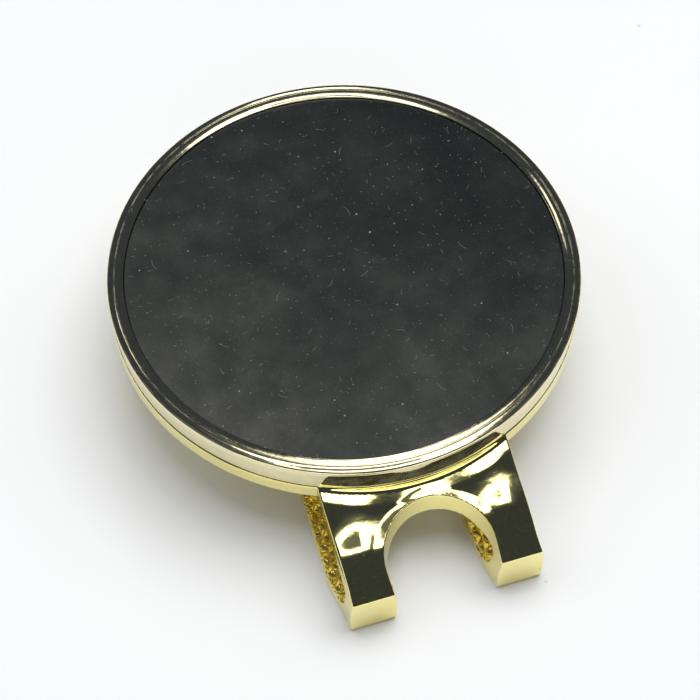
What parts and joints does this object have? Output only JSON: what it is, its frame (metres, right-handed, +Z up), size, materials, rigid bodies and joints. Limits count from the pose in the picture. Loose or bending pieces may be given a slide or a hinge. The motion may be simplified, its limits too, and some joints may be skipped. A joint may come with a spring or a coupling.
{
  "type": "cap clip with magnetic ball marker",
  "caption": "Gold-plated one-piece cap clip with arch-notched arms, a sprung lower jaw and a round black-faced ball marker held on its base disc by a magnet.",
  "frame": {"origin": "on the resting plane (underside of the lower jaw), on the axis of the base disc", "axes": "+Z up through the marker, -Y towards the bend of the clip, +X across the clip"},
  "size_m": [0.03, 0.0357, 0.008],
  "materials": {
    "gold_plate": "polished yellow-gold plating over a casting",
    "pale_gold_plate": "polished pale champagne-gold plating",
    "nickel": "nickel-plated magnet",
    "adhesive": "cured epoxy adhesive",
    "black_gloss": "glossy black enamel face with fine dust"
  },
  "bodies": {
    "clip": {"clip_base": "gold_plate", "magnet": "nickel", "magnet_adhesive": "adhesive"},
    "jaw": {"clip_jaw": "gold_plate"},
    "marker": {"marker_body": "pale_gold_plate", "face_inlay": "black_gloss", "inlay_adhesive": "adhesive"}
  },
  "joints": [
    {"name": "marker_lift", "type": "slide", "parent": "clip", "child": "marker", "axis": [0, 0, 1], "range_m": [0, 0.02]},
    {"name": "jaw_flex", "type": "hinge", "parent": "clip", "child": "jaw", "pos_m": [0, -0.02075, 0.00175], "axis": [-1, 0, 0], "range_deg": [0, 4], "stiffness_Nm_per_rad": 0.5}
  ]
}
